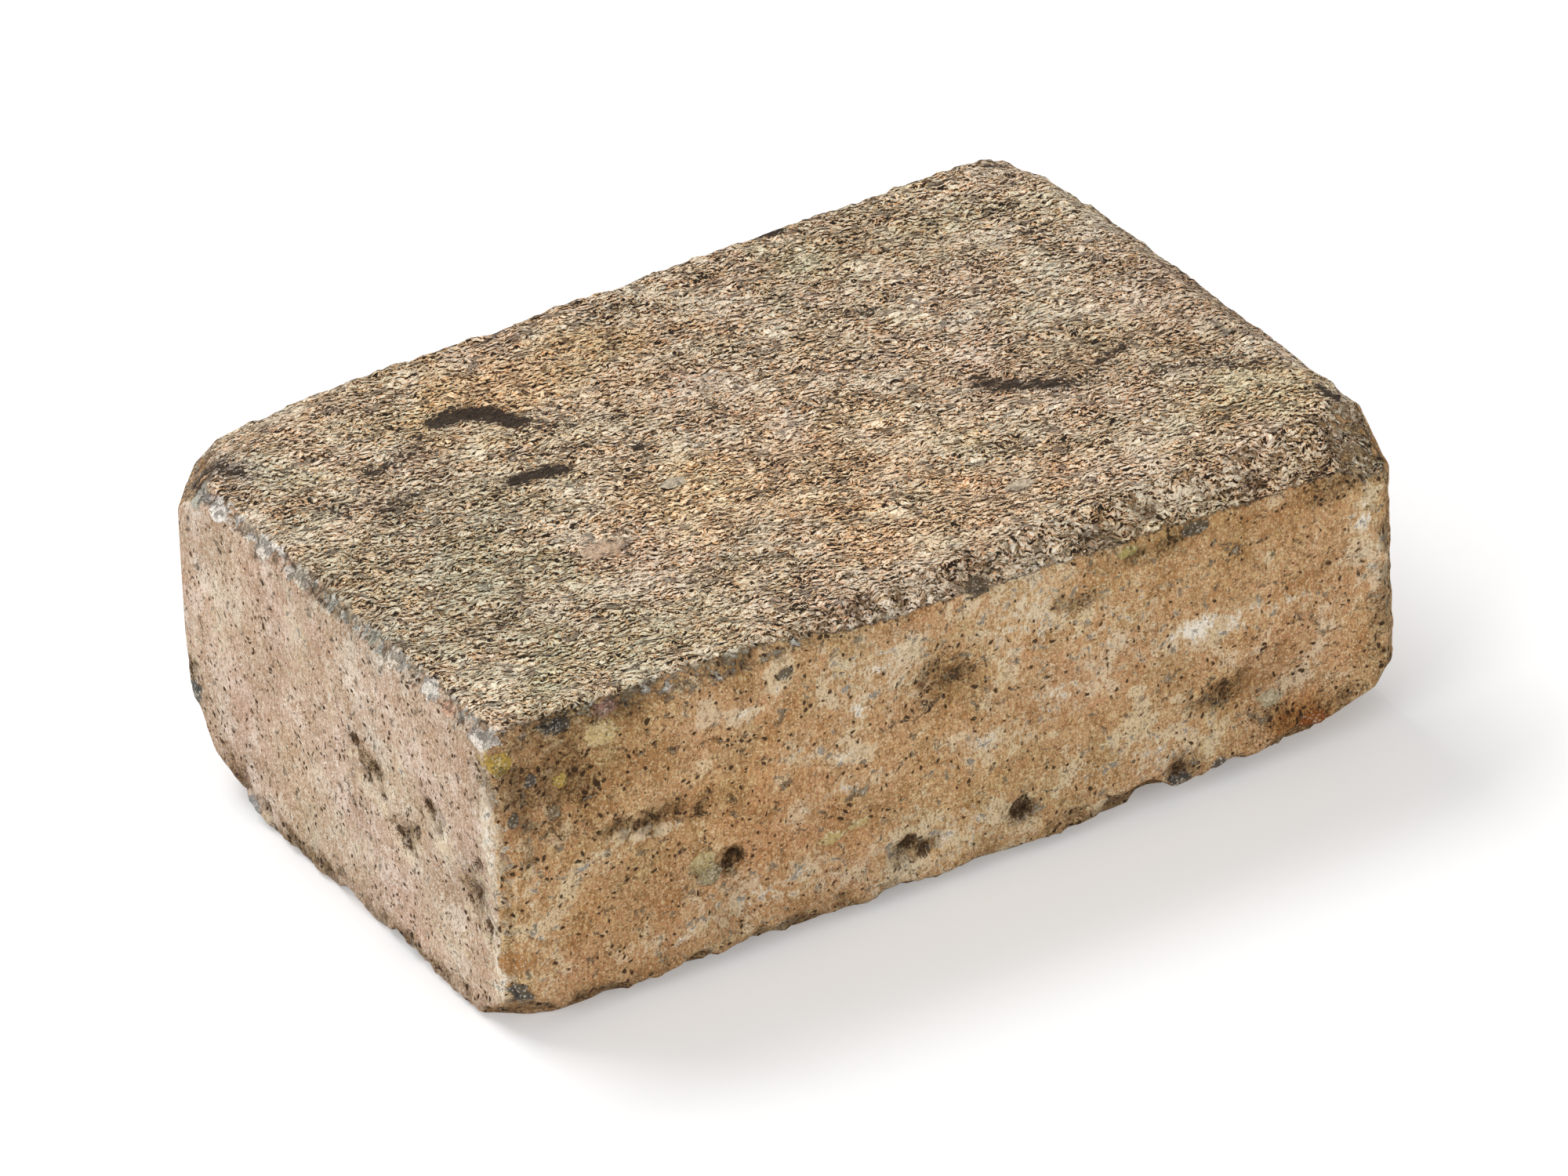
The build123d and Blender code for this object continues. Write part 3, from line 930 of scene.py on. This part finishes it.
    # Heights for the bump, in mm
    top_height = sum_of(pattern["streak"]["Fac"], -2.1, sum_of(pattern["gouge"]["Fac"], -2.2, 0.0))
    deep = sum_of(pit_share, -1.0, share_of(pinhole, 0.0, -0.12, -0.45))
    coarse = add("ShaderNodeMapRange", {0: known["broken"]["Fac"], 3: 0.5, 4: 1.6}).outputs[0]
    side_height = add(
        "ShaderNodeMath", {0: pattern["sand"]["Fac"], 1: coarse, 2: deep}, operation="MULTIPLY_ADD"
    ).outputs[0]
    height = add("ShaderNodeMix", {0: top_share, 2: side_height, 3: top_height}).outputs[0]
    bump = add("ShaderNodeBump", {"Strength": 1.0, "Distance": 1 / MM, "Height": height}).outputs[0]
    surface = add(
        "ShaderNodeBsdfPrincipled",
        {"Base Color": colour, "Roughness": 0.93, "IOR": 1.5, "Specular IOR Level": 0.25, "Normal": bump},
    )
    add("ShaderNodeOutputMaterial", {"Surface": surface.outputs[0]})
    return finish


def colour_setting(name, description, code):
    """A colour that a user may change, from its sRGB hex value."""
    return bpy.props.FloatVectorProperty(
        name=name, description=description, default=linear(code), size=4, min=0, max=1, subtype="COLOR"
    )


class ConcreteSettings(bpy.types.PropertyGroup):
    """What a user may change on the concrete."""

    wear: bpy.props.FloatProperty(
        name="Edge wear",
        description="Height of the waves and scoops on the worn edges",
        default=1.0,
        min=0,
        max=2,
    )
    seed: bpy.props.IntProperty(name="Seed", description="Chooses another chance pattern of wear", default=7)
    grain_size: bpy.props.FloatProperty(
        name="Grain", description="Size of the grains of the struck top, in mm", default=1.0, min=0.3, max=6
    )
    top_colour: colour_setting("Top", "Ground colour of the struck top", "#eabb8a")
    front_colour: colour_setting("Long sides", "Ground colour of the long faces", "#c29568")
    end_colour: colour_setting("Ends", "Ground colour of the short faces", "#c7aa91")
    lime_colour: colour_setting("Lime", "Colour of the bloom of lime", "#e0cba9")
    # Painted shade between the grains of the top
    hollow_shade_colour: colour_setting("Hollows", "Colour between the grains of the top", "#1b120a")


class StageSettings(bpy.types.PropertyGroup):
    """What a user may change on the stage."""

    floor_half: bpy.props.FloatProperty(
        name="Floor", description="Half the side of the floor", default=6.0, unit="LENGTH", subtype="DISTANCE"
    )
    floor_colour: colour_setting("Floor colour", "Colour of the floor", "#e7e7e7")


class OBJECT_OT_paving_concrete(bpy.types.Operator):
    """Add the worn concrete of the paving block"""

    bl_idname = "object.paving_concrete"
    bl_label = "Worn concrete"

    def execute(self, context):
        settings = context.scene.paving_concrete
        piece = skin_object("worn_concrete", *lattice_skin())
        shape_concrete(piece, settings.wear, settings.seed)
        piece.data.materials.append(concrete_finish(settings))
        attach(piece, "root")
        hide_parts(NODE)
        return {"FINISHED"}


class SCENE_OT_paving_stage(bpy.types.Operator):
    """Add the floor, the lamps and the camera"""

    bl_idname = "scene.paving_stage"
    bl_label = "Stage"

    def execute(self, context):
        settings = context.scene.paving_stage
        add_floor(settings)
        add_lamps(context)
        add_camera(context)
        return {"FINISHED"}


# Light of its own that the floor shows to the camera
FLOOR_GLOW = 0.22


def add_floor(settings):
    """A flat pale floor. To the camera it adds a little light of its own, so that it reads
    as white paper and still keeps the block's shadow."""
    half = settings.floor_half
    corners = [(-half, -half, 0), (half, -half, 0), (half, half, 0), (-half, half, 0)]
    mesh = bpy.data.meshes.new("floor")
    mesh.from_pydata(corners, [], [(0, 1, 2, 3)])
    floor = bpy.data.objects.new("floor", mesh)
    bpy.context.collection.objects.link(floor)
    paper = bpy.data.materials.new("matt_white_paper")
    paper.use_nodes = True
    tree = paper.node_tree
    tree.nodes.clear()
    matt = add_node(tree, "ShaderNodeBsdfDiffuse", {"Color": settings.floor_colour[:]}).outputs[0]
    seen = add_node(tree, "ShaderNodeLightPath").outputs["Is Camera Ray"]
    glow = add_node(tree, "ShaderNodeMath", {0: seen, 1: FLOOR_GLOW}, operation="MULTIPLY").outputs[0]
    lift = add_node(tree, "ShaderNodeEmission", {"Strength": glow}).outputs[0]
    both = add_node(tree, "ShaderNodeAddShader", {0: matt, 1: lift}).outputs[0]
    add_node(tree, "ShaderNodeOutputMaterial", {"Surface": both})
    mesh.materials.append(paper)


# Lamps: name, place, watts, and width and height of the soft box, in metres
LAMPS = (
    ("overhead_back", (-0.5, 1.3, 1.9), 38.0, 1.6, 1.0),
    ("left_front", (-2.2, -0.9, 1.1), 26.0, 1.4, 1.4),
    ("right_front", (1.4, -2.2, 0.9), 20.0, 1.4, 1.2),
)
# What the lamps aim at, in metres, and the surround's strength for light and for the camera
LAMP_AIM = (0.0, 0.0, 0.03)
SURROUND_LIGHT = 0.45
SURROUND_SEEN = 1.0


def add_lamps(context):
    """Soft boxes that face the block, in a white surround."""
    for name, place, watts, wide, tall in LAMPS:
        lamp = bpy.data.lights.new(name, "AREA")
        lamp.shape = "RECTANGLE"
        lamp.size, lamp.size_y = wide, tall
        lamp.energy = watts
        holder = bpy.data.objects.new(name, lamp)
        holder.location = place
        aim = Vector(LAMP_AIM) - Vector(place)
        holder.rotation_euler = aim.to_track_quat("-Z", "Y").to_euler()
        context.collection.objects.link(holder)
    world = bpy.data.worlds.new("white_surround")
    context.scene.world = world
    world.use_nodes = True
    tree = world.node_tree
    tree.nodes.clear()
    seen = add_node(tree, "ShaderNodeLightPath").outputs["Is Camera Ray"]
    level = add_node(tree, "ShaderNodeMapRange", {0: seen, 3: SURROUND_LIGHT, 4: SURROUND_SEEN}).outputs[0]
    surround = add_node(tree, "ShaderNodeBackground", {"Color": (1, 1, 1, 1), "Strength": level}).outputs[0]
    add_node(tree, "ShaderNodeOutputWorld", {"Surface": surround})


# Camera: the point it aims at and its distance from it, in metres, the direction it stands
# in, as degrees from +X towards +Y and above the floor, how far it is rolled, in degrees,
# and its lens in mm
CAMERA_AIM = (0.0007, -0.0014, 0.0335)
CAMERA_DISTANCE = 3.777
CAMERA_AZIMUTH = -119.58
CAMERA_ELEVATION = 31.55
CAMERA_ROLL = -3.12
CAMERA_LENS = 432.0


def add_camera(context):
    """A long lens, as the photo's nearly parallel edges show."""
    lens = bpy.data.cameras.new("camera")
    lens.lens = CAMERA_LENS
    camera = bpy.data.objects.new("camera", lens)
    # An unturned camera looks down, with the picture's top towards +Y
    turn = (
        Matrix.Rotation(radians(CAMERA_AZIMUTH + 90), 4, "Z")
        @ Matrix.Rotation(radians(90 - CAMERA_ELEVATION), 4, "X")
        @ Matrix.Rotation(radians(CAMERA_ROLL), 4, "Z")
    )
    away = turn @ Vector((0, 0, CAMERA_DISTANCE))
    camera.matrix_world = Matrix.Translation(Vector(CAMERA_AIM) + away) @ turn
    context.collection.objects.link(camera)
    context.scene.camera = camera
    context.scene.view_settings.view_transform = "Standard"


class VIEW3D_PT_paving_block(bpy.types.Panel):
    """Lists what builds the paving block"""

    bl_label = "Paving block"
    bl_space_type = "VIEW_3D"
    bl_region_type = "UI"
    bl_category = "Paving block"

    def draw(self, context):
        column = self.layout.column()
        for name in ConcreteSettings.__annotations__:
            column.prop(context.scene.paving_concrete, name)
        column.operator("object.paving_concrete")
        for name in StageSettings.__annotations__:
            column.prop(context.scene.paving_stage, name)
        column.operator("scene.paving_stage")


CLASSES = (
    ConcreteSettings,
    StageSettings,
    OBJECT_OT_paving_concrete,
    SCENE_OT_paving_stage,
    VIEW3D_PT_paving_block,
)


def register():
    for kind in CLASSES:
        bpy.utils.register_class(kind)
    bpy.types.Scene.paving_concrete = bpy.props.PointerProperty(type=ConcreteSettings)
    bpy.types.Scene.paving_stage = bpy.props.PointerProperty(type=StageSettings)


def unregister():
    del bpy.types.Scene.paving_stage
    del bpy.types.Scene.paving_concrete
    for kind in reversed(CLASSES):
        bpy.utils.unregister_class(kind)


def main():
    register()
    bpy.ops.object.paving_concrete()
    bpy.ops.scene.paving_stage()


if __name__ == "__main__":
    main()
